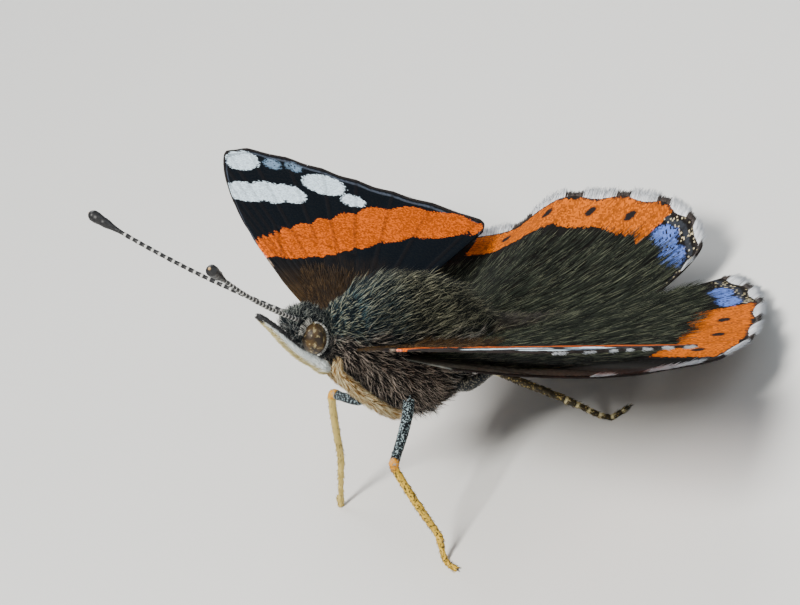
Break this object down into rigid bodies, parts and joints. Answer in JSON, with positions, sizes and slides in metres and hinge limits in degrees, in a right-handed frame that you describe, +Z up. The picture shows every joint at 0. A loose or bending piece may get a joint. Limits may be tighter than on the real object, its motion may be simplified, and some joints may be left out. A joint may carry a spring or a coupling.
{
  "type": "red admiral butterfly",
  "caption": "Life-size red admiral butterfly basking with open, slightly raised wings, standing head-up on its walking legs.",
  "frame": {"origin": "middle of the bounding box's footprint, on the floor under the feet", "axes": "+X the way the head points, +Y to the insect's left along the wing span, +Z up from the floor"},
  "size_m": [0.0356, 0.0666, 0.0306],
  "materials": {
    "fur": "short blue-black and brown hair over dark skin",
    "wing": "scaled membrane, black-brown with orange-red bands and white spots",
    "eye": "domed brown facet eye with a soft gloss",
    "palp": "cream hair, dark on the upper edge",
    "antenna": "black with pale rings and a cream club tip",
    "foreleg": "golden-brown brush of hair",
    "leg": "yellow-cream shins and feet, dark thighs with pale scales"
  },
  "bodies": {
    "root": {"head": "fur", "thorax": "fur", "abdomen": "fur", "eye_left": "eye", "palp_left": "palp", "antenna_left": "antenna", "foreleg_left": "foreleg", "midleg_left": "leg", "hindleg_left": "leg", "forewing_left": "wing", "hindwing_left": "wing", "eye_right": "eye", "palp_right": "palp", "antenna_right": "antenna", "foreleg_right": "foreleg", "midleg_right": "leg", "hindleg_right": "leg", "forewing_right": "wing", "hindwing_right": "wing"}
  },
  "joints": []
}
